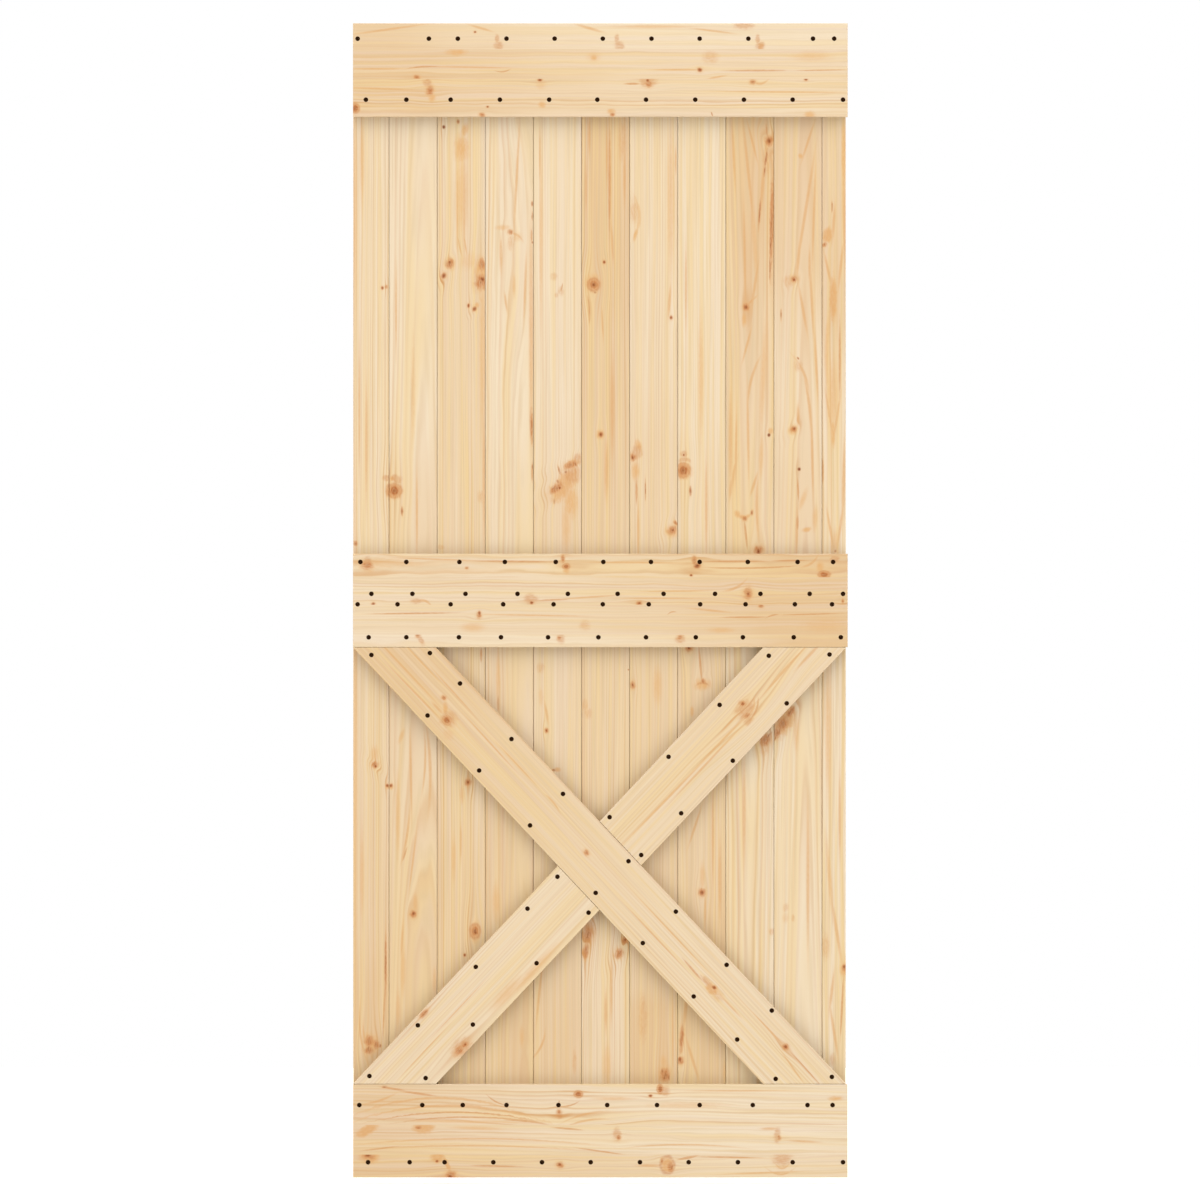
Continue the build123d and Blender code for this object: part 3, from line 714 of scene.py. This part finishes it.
            ("line", 430, 1650, 3, 18, -9), ("blush", 410, 1680, 8, 3), ("amber", 443, 1722, 8, 1.8),
            ("red", 444, 1718, 5, 1.4), ("pin", 444, 1717, 3.8), ("vein", 440, 1790, 2.2, 28, 3),
            ("line", 421, 1765, 2.6, 14, 7), ("line", 425, 1832, 2.6, 18, -9), ("blush", 423, 1886, 6, 2),
        ],
    },
}

for name, plank in boards.items():
    finishPlank(name, plank, fromTop=True)
print("boards finished:", len(boards))

# Rails, with their grain running to the right. Each is glued up from staves, and top and bottom are
# the drops of a stave's glue lines or edges. Their tones go by the distance from the rail's middle.
rails = {
    "top_rail": {
        "seed": 21, "pitch": 6, "wander": 9, "ripple": 3.6, "wave": 90, "pink": 0.4,
        "tones": [(-400, 0.74), (-220, 0.36), (-60, 0.13), (80, -0.03), (300, -0.06)],
        "staves": [
            {"top": 0, "bottom": 47, "toning": 0.02, "pith": (-150, 30), "lines": 0.25, "streaks": 0.25,
             "marks": [
                ("pin", -228, 16, 2.2), ("rosy", -185, 40, 8, 1.1), ("rosy", -188, 28, 8, 0.6),
                ("rosy", -184, 42, 6), ("rosy", 34, 40, 9, 1.0), ("rosy", 30, 28, 9, 0.5),
                ("rosy", 37, 42, 6), ("rosy", 291, 41, 9, 1.0), ("rosy", 286, 29, 9, 0.5),
                ("amber", 292, 42, 9, 0.8), ("rosy", 262, 3, 9, 2.0), ("line", -385, 11, 2.0, 30, -8),
                ("line", -217, 9, 2.2, 9, 16), ("line", -20, 9, 2.6, 9, 16), ("band", 95, 6, 3, 24),
                ("line", 205, 14, 1.8, 20, 7),
            ]},
            {"top": 47, "bottom": 101, "toning": 0.46, "pith": (260, 20), "lines": 0.3, "streaks": 0.35,
             "marks": [
                ("amber", -262, 53, 7, 3), ("vein", -322, 79, 1.7, 20, -3, 1.6),
                ("line", -235, 80, 1.7, 42, 1), ("line", -405, 83, 1.6, 30),
                ("vein", -177, 88, 1.4, 11, -6, -2.5), ("red", -334, 98, 5), ("honey", -12, 61, 9, 1.4),
                ("amber", -12, 62, 7, 1.2), ("blush", 200, 62, 12, 1.3), ("pin", 181, 85, 4.2),
                ("line", 140, 84.5, 1.8, 24), ("vein", 285, 86, 1.9, 34, -0.3),
                ("vein", 400, 85.5, 1.3, 40, -1), ("line", 212, 98, 1.7, 10, -10), ("honey", 385, 60, 9, 4),
            ]},
            {"top": 101, "bottom": 155, "toning": 0.36, "pith": (-90, 26), "lines": 0.55, "streaks": 0.4,
             "marks": [
                ("rosy", -315, 108, 7, 1.2), ("red", -310, 122, 10, 0.7), ("amber", -306, 136, 9, 0.8),
                ("line", -400, 119, 1.8, 34, 2), ("pin", -110, 103, 4), ("honey", -108, 112, 8, 1.2),
                ("rosy", 87, 106, 11, 1.5), ("red", 88, 110, 7, 1.1), ("pin", 86, 104, 3.2),
                ("vein", 58, 110, 2.2, 7), ("pin", 374, 102, 3), ("red", 277, 107, 4.5, 1.4),
                ("line", 290, 110, 2.2, 7, 0, -3.4), ("ruby", -446, 154, 8, 0.9), ("pin", -205, 152, 2.2),
                ("amber", -106, 148, 7, 1.1), ("line", 330, 125, 1.6, 70, 0.5),
            ]},
            {"top": 155, "bottom": 170, "toning": 0.32, "pith": (60, 30), "lines": 0.4, "streaks": 0.4,
             "marks": [
                ("ruby", -446, 155, 8, 0.9), ("red", -215, 167, 4.4, 1.3), ("amber", 20, 160, 7, 1.2),
                ("red", 22, 166, 3.6), ("amber", 381, 166, 7, 1.6), ("resin", 203, 165, 1.4, 3, 70),
            ]},
        ],
    },
    "middle_rail": {
        "seed": 22, "pitch": 5.5, "wander": 9, "ripple": 3.6, "wave": 90, "pink": 0.35,
        "tones": [(-420, -0.08), (-280, 0.02), (-100, 0), (80, 0.2), (220, 0.47), (380, 0.97)],
        "staves": [
            {"top": 965, "bottom": 1008, "toning": 0.13, "pith": (-60, 24), "lines": 0.6, "marks": [
                ("red", -424, 986, 9), ("rosy", -423, 977, 8, 0.9), ("red", -243, 991, 2.6),
                ("red", -68, 974, 7, 0.5), ("ruby", -62, 988, 5), ("amber", -62, 994, 9, 0.8),
                ("honey", -395, 980, 12, 5), ("vein", -160, 979, 2.0, 42, 0.8),
                ("line", -300, 975, 1.6, 50, 2), ("pin", 176, 987, 6), ("red", 171, 977, 8, 0.6),
                ("pin", 165, 1004, 2.6), ("vein", 245, 979, 1.9, 32), ("vein", 345, 977.5, 1.6, 20, -1),
                ("line", 60, 981, 1.6, 50, 0.5), ("vein", 275, 991, 1.7, 55, -1, -2),
                ("line", 383, 983, 2.2, 8, -34, -2), ("amber", 400, 990, 12, 0.6),
                ("ruby", 407, 1003, 6.5, 1.6), ("rosy", 427, 974, 6, 1.6),
            ]},
            {"top": 1008, "bottom": 1058, "toning": 0.32, "pith": (180, 30), "lines": 0.55, "marks": [
                ("rosy", -334, 1051, 5, 2.4), ("line", -318, 1051, 2.2, 6, 22, 2), ("pin", -413, 1056, 3.2),
                ("rosy", -126, 1047, 10, 1.3), ("pin", -125, 1054, 3.6, 1.2),
                ("vein", -86, 1049, 1.8, 17, -2), ("line", -20, 1044, 1.7, 30, -4),
                ("line", 110, 1046, 1.5, 50), ("red", 269, 1037, 11, 0.8), ("pin", 269, 1038, 5, 0.9),
                ("line", 246, 1027, 2.4, 9, -26, -1.6), ("line", 140, 1033, 1.5, 40, -1),
                ("red", 71, 1055, 4.4), ("pin", 71, 1055, 3), ("red", 441, 1051, 5, 0.5),
            ]},
            {"top": 1058, "bottom": 1112, "toning": 0.34, "pith": (-150, 40), "lines": 0.2, "streaks": 0.3,
             "marks": [
                ("pin", -220, 1073, 4.4, 0.8), ("red", -221, 1077, 6, 0.8),
                ("vein", -340, 1073.5, 1.8, 48, -0.8), ("line", -120, 1077, 1.5, 60, 1),
                ("vein", 130, 1071, 1.3, 7, -14, 2), ("line", 200, 1068, 1.9, 18, 6),
                ("vein", 262, 1080.5, 1.7, 26, -0.3), ("vein", 313, 1077, 1.5, 9, -14, 1.5),
                ("vein", 385, 1075, 1.4, 45, -1.5), ("band", -232, 1099, 8, 2.6),
                ("blush", -28, 1095, 10, 1.1), ("red", 292, 1060, 4), ("band", 220, 1104, 5, 4.5),
                ("honey", 410, 1095, 14, 3),
            ]},
            {"top": 1112, "bottom": 1135, "toning": 0.03, "pith": (90, 30), "lines": 0.2, "streaks": 0.25,
             "marks": [
                ("red", -332, 1114, 4.4, 1.0), ("rosy", -327, 1121, 5, 2.6, 58),
                ("rosy", -72, 1120, 9, 0.9), ("red", -75, 1118, 3.4), ("red", 145, 1117, 4.6, 1.1),
                ("rosy", 145, 1121, 8),
            ]},
        ],
    },
    "bottom_rail": {
        "seed": 23, "pitch": 6, "wander": 12, "ripple": 3.8, "wave": 110, "pink": 0.35, "taper": 10,
        "tones": [(-400, 0.78), (-220, 0.36), (-75, 0.12), (75, -0.02), (220, -0.18)],
        "staves": [
            {"top": 1930, "bottom": 2004, "toning": 0.03, "pith": (10, 20), "lines": 0.6, "marks": [
                ("resin", -393, 1935, 2.6, 2.4), ("vein", -378, 1938, 2.2, 12, 9),
                ("vein", -332, 1947, 2.4, 15, 8), ("line", -402, 1960, 2.0, 15, -18, -1.5),
                ("line", -292, 1955, 2.2, 66, 0, 12), ("line", -275, 1969, 2.2, 76, 0, 12),
                ("vein", -265, 1981, 1.6, 105, 0, 13), ("vein", -240, 1990, 1.7, 84, 0, 7),
                ("band", -250, 1998, 3, 40, 1), ("vein", -135, 1997, 2.4, 18, 6, 1.2),
                ("vein", -190, 1962, 1.6, 13, 28, -2.4), ("vein", -56, 1969, 1.6, 12, -14, -2.4),
                ("resin", -75, 1962, 2.2, 0.4), ("rosy", -75, 1983, 10, 0.7), ("red", -75, 1981, 6, 0.6),
                ("whorl", -76, 1982, 13, 2.0), ("line", -25, 1984, 2.0, 20, -13, 2),
                ("line", -25, 1996, 2.0, 18, -10, 2), ("ruby", -40, 1948, 6), ("rosy", 118, 1942, 10, 0.9),
                ("ruby", 109, 1939, 8, 0.7), ("pin", 91, 1951, 3, 1.4), ("line", 250, 1942, 1.5, 60),
                ("amber", 428, 1956, 5, 3), ("honey", 160, 1968, 6, 12), ("band", 25, 1956, 3.5, 11),
            ]},
            {"top": 2004, "bottom": 2058, "toning": 0.05, "pith": (70, 24), "lines": 0.6, "marks": [
                ("patch", -424, 2014, 9, 2.6, -28), ("patch", -322, 2008, 12, 1.6),
                ("red", -331, 2009, 4, 1.8), ("band", -225, 2010, 3.5, 13, 2),
                ("vein", -60, 2011, 1.9, 16, 5), ("line", -230, 2029, 1.7, 110, 0, 5),
                ("line", -220, 2042, 1.6, 115, 0.5, 4), ("vein", -400, 2047, 1.5, 26, -7),
                ("vein", 0, 2052, 1.7, 28, 8), ("rosy", 30, 2021, 13, 0.6), ("red", 33, 2027, 6, 0.7),
                ("rosy", 322, 2023, 15, 0.45), ("red", 325, 2027, 5, 0.7), ("line", 308, 2011, 2.6, 6),
                ("line", 370, 2034, 2.0, 14, 3), ("line", 150, 2040, 1.6, 60, 0, 3),
            ]},
            {"top": 2058, "bottom": 2100, "toning": 0.45, "pith": (-60, 26), "lines": 0.55, "marks": [
                ("patch", -420, 2060, 15, 1.3), ("red", -421, 2061, 6, 2.2), ("pin", -422, 2060, 3.6, 2.4),
                ("patch", -296, 2063, 10, 1.3), ("pin", -297, 2070, 3), ("patch", -279, 2076, 4, 4, 64),
                ("red", -272, 2096, 9, 1.1), ("pin", -273, 2098, 4.6), ("red", -74, 2077, 6),
                ("pin", -74, 2076, 3.8), ("patch", 122, 2077, 14, 0.8), ("ring", 122, 2077, 15, 0.8),
                ("red", 127, 2080, 10, 0.6), ("ruby", 130, 2082, 5, 0.6), ("red", 112, 2070, 6, 0.5),
                ("resin", 131, 2080, 2.6, 2.4, 80), ("line", 90, 2078, 2.8, 8),
                ("vein", 158, 2064, 2.6, 8, -11), ("vein", 235, 2063, 1.8, 34, 1),
                ("rosy", 331, 2064, 19, 0.95), ("line", 331, 2083, 2.0, 8, 0, -6),
                ("line", 328, 2094, 2.0, 11, 0, -4), ("vein", -190, 2079, 1.8, 28, 1),
                ("line", 300, 2091, 1.5, 45, -2),
            ]},
        ],
    },
}

for name, plank in rails.items():
    plank["lean"] = 90
    finishPlank(name, plank)
print("rails finished:", len(rails))

# Braces. A brace's grain follows its slope, and its tones go by the distance from its middle
slope = 46.8  # degrees from level
braces = {
    "long_brace": {
        "toning": 0.3, "pith": (-90, 40), "pitch": 5.5, "lines": 0.42, "seed": 31, "lean": 90 + slope,
        "tones": [(-450, 0.68), (-250, 0.37), (0, 0.14), (200, -0.05), (400, -0.12)],
        "marks": [
            ("line", -268, 1216, 1.4, 40, 1), ("line", -325, 1163, 1.4, 34), ("line", -400, 1190, 1.8, 40),
            ("line", -360, 1170, 2.0, 50), ("line", -335, 1220, 1.8, 40, -1), ("red", -285, 1227, 4.5, 1.1),
            ("line", -296, 1246, 2.4, 6), ("amber", -282, 1246, 5, 2.6, 43), ("rosy", -277, 1266, 16, 1.0),
            ("ruby", -279, 1268, 8, 1.1), ("honey", -276, 1293, 9, 1.2), ("line", -150, 1350, 1.6, 30),
            ("line", -85, 1418, 1.6, 12, 4, 1.2), ("line", -200, 1310, 1.6, 40, 1), ("red", -25, 1509, 5),
            ("line", 100, 1662, 1.6, 42), ("line", 130, 1655, 1.4, 60), ("vein", 168, 1722, 2.2, 13, 2),
            ("rosy", 194, 1744, 6, 2.6), ("patch", 203, 1757, 9, 1.6), ("pin", 207, 1754, 3.6, 1.5),
            ("blush", 212, 1767, 11, 1.4), ("line", 235, 1786, 1.8, 16), ("red", 337, 1862, 6, 1.1),
            ("pin", 337, 1862, 4.4), ("vein", 372, 1900, 1.7, 26, 1), ("line", 308, 1832, 1.6, 24),
            ("line", 350, 1900, 1.6, 20, 8),
        ],
    },
    "upper_short_brace": {
        "toning": 0.31, "pith": (80, 40), "pitch": 5.5, "lines": 0.4, "seed": 32, "lean": 90 - slope,
        "marks": [
            ("rosy", 264, 1248, 18, 1.2), ("rosy", 258, 1239, 9, 1.0), ("ruby", 259, 1238, 4.6, 1.1),
            ("pin", 259, 1238, 3.2), ("red", 267, 1259, 5, 1.6, 10), ("vein", 256, 1252, 1.8, 5, -80, 1.5),
            ("vein", 284, 1248, 2.2, 10, -22, -2.4), ("line", 278, 1246, 2.2, 8, -22, -2.4),
            ("rosy", 270, 1268, 7, 1.6), ("whorl", 276, 1252, 14, 1.5), ("line", 238, 1270, 1.8, 15),
            ("line", 214, 1313, 2.2, 32, 1), ("line", 195, 1345, 2.0, 45), ("line", 120, 1412, 2.4, 42, 1),
            ("line", 345, 1165, 2.2, 20), ("line", 326, 1188, 2.0, 22, -1), ("line", 380, 1150, 2.6, 12),
        ],
    },
    "lower_short_brace": {
        "toning": 0.22, "pith": (90, 40), "pitch": 5, "lines": 0.36, "seed": 33, "lean": 90 - slope,
        "marks": [
            ("red", -321, 1802, 5, 2.2), ("resin", -318, 1799, 2.8, 2.4), ("rosy", -253, 1864, 16, 1.3),
            ("red", -257, 1869, 9, 1.2), ("red", -247, 1858, 6, 1.3), ("pin", -246, 1858, 2.8),
            ("band", -120, 1722, 8, 8), ("band", -170, 1765, 10, 4), ("line", -320, 1870, 1.3, 45),
            ("line", -260, 1795, 1.3, 50),
        ],
    },
}

for name, plank in braces.items():
    finishPlank(name, plank)
print("braces finished:", len(braces))

# Screws in dark coated steel, worn in small spots
screwSteel = {
    "dark": fromSrgb(58, 32, 12),
    "worn": fromSrgb(102, 66, 34),
    "metallic": 0.85,
    "roughness": (0.32, 0.5),
    "mottle": ((1.1, 1.1, 1.1), 3.0),  # noise, as sizes in mm and detail
    "seed": (3, 5, 7),
    "wornFrom": (0.45, 0.75),          # where in the noise the wear starts and where it is full
    "roughFrom": (0.3, 0.7),
}


def steelMaterial(name, steel):
    material = newMaterial(name)
    tree = material.node_tree
    place = vectors(tree, "SCALE", addNode(tree, "TexCoord").outputs["Object"])
    place.node.inputs["Scale"].default_value = 1 / mm
    mottle = noiseOf(tree, place, steel["mottle"], steel["seed"])
    wear = ramp(tree, mottle, *steel["wornFrom"])
    setSurface(tree, {
        "Base Color": mixColours(tree, wear, steel["dark"], steel["worn"]),
        "Metallic": steel["metallic"],
        "Roughness": ramp(tree, mottle, *steel["roughFrom"], *steel["roughness"]),
    })
    return material


steel = steelMaterial("coated_steel", screwSteel)
for name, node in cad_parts.items():
    if name.endswith("_screws"):
        node.material_slots[0].material = steel
print("screws finished")

# Studio: an even pale light from all round, stronger from the sides than from straight ahead
studio = {
    "ahead": 0.113,
    "aside": 4.07,
    "edgeOn": 0.1,           # share of the light left for a direction along the leaf's face
    "edgeReach": 0.5,        # how far off the face that fading goes, as a sine
    "backdrop": 1.0,
    "floorDrop": 2.112,      # metres below the top edge, a guide's gap under the leaf
    "floorSize": 9.0,
    "floorColour": fromSrgb(250, 250, 249),
    "floorRoughness": 0.95,
    "floorGlow": 0.45,
}


def buildWorld(studio):
    # Strength rises from ahead to aside with how far a direction is from straight ahead, and
    # drops again along the leaf's face, so that the leaf's edges aren't burnt out
    world = bpy.data.worlds.new("studio")
    world.use_nodes = True
    tree = world.node_tree
    tree.nodes.clear()
    direction = split(tree, addNode(tree, "TexCoord").outputs["Generated"])
    facing = maths(tree, "ABSOLUTE", direction[1])
    sideways = maths(tree, "SUBTRACT", 1.0, facing)
    rise = studio["aside"] - studio["ahead"]
    strength = maths(tree, "MULTIPLY_ADD", sideways, rise, studio["ahead"])
    edgeOn = ramp(tree, facing, 0.0, studio["edgeReach"], studio["edgeOn"], 1.0)
    strength = maths(tree, "MULTIPLY", strength, edgeOn)
    light = addNode(tree, "Background", {"Color": (1, 1, 1, 1), "Strength": strength})
    backdrop = addNode(tree, "Background", {"Color": (1, 1, 1, 1), "Strength": studio["backdrop"]})
    seen = addNode(tree, "LightPath").outputs["Is Camera Ray"]
    mixed = addNode(tree, "MixShader", {0: seen})
    tree.links.new(light.outputs[0], mixed.inputs[1])
    tree.links.new(backdrop.outputs[0], mixed.inputs[2])
    output = addNode(tree, "OutputWorld")
    tree.links.new(mixed.outputs[0], output.inputs["Surface"])
    bpy.context.scene.world = world


def buildFloor(studio):
    # One flat square, level, under the middle of the leaf
    half = studio["floorSize"] / 2
    level = -studio["floorDrop"]
    corners = [(-half, -half, level), (half, -half, level), (half, half, level), (-half, half, level)]
    mesh = bpy.data.meshes.new("studio_floor")
    mesh.from_pydata(corners, [], [(0, 1, 2, 3)])
    floor = bpy.data.objects.new("studio_floor", mesh)
    bpy.context.scene.collection.objects.link(floor)
    material = bpy.data.materials.new("studio_floor")
    material.use_nodes = True
    shader = material.node_tree.nodes["Principled BSDF"]
    shader.inputs["Base Color"].default_value = studio["floorColour"]
    shader.inputs["Roughness"].default_value = studio["floorRoughness"]
    shader.inputs["Specular IOR Level"].default_value = 0.0
    shader.inputs["Emission Color"].default_value = studio["floorColour"]
    shader.inputs["Emission Strength"].default_value = studio["floorGlow"]
    mesh.materials.append(material)
    floor.visible_diffuse = False  # it adds no light from below, so the leaf is lit alike all the way down
    floor.visible_glossy = False


buildWorld(studio)
buildFloor(studio)
bpy.context.scene.view_settings.view_transform = "Standard"

# Camera: straight on through a long lens, as the photograph is
view = {
    "middleX": -0.0006,
    "middleZ": -1.0492,
    "frameWidth": 2.183,  # metres across the whole picture, at the rails' front
    "lens": 300.0,
    "sensor": 36.0,
    "reach": 100,         # metres
}
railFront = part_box("top_rail")[0].y
cameraData = bpy.data.cameras.new("camera")
cameraData.lens = view["lens"]
cameraData.sensor_width = view["sensor"]
cameraData.clip_end = view["reach"]
camera = bpy.data.objects.new("camera", cameraData)
distance = view["frameWidth"] * view["lens"] / view["sensor"]
camera.location = (view["middleX"], railFront - distance, view["middleZ"])
camera.rotation_euler = (math.radians(90), 0, 0)
bpy.context.scene.collection.objects.link(camera)
bpy.context.scene.camera = camera
print("studio and camera set")
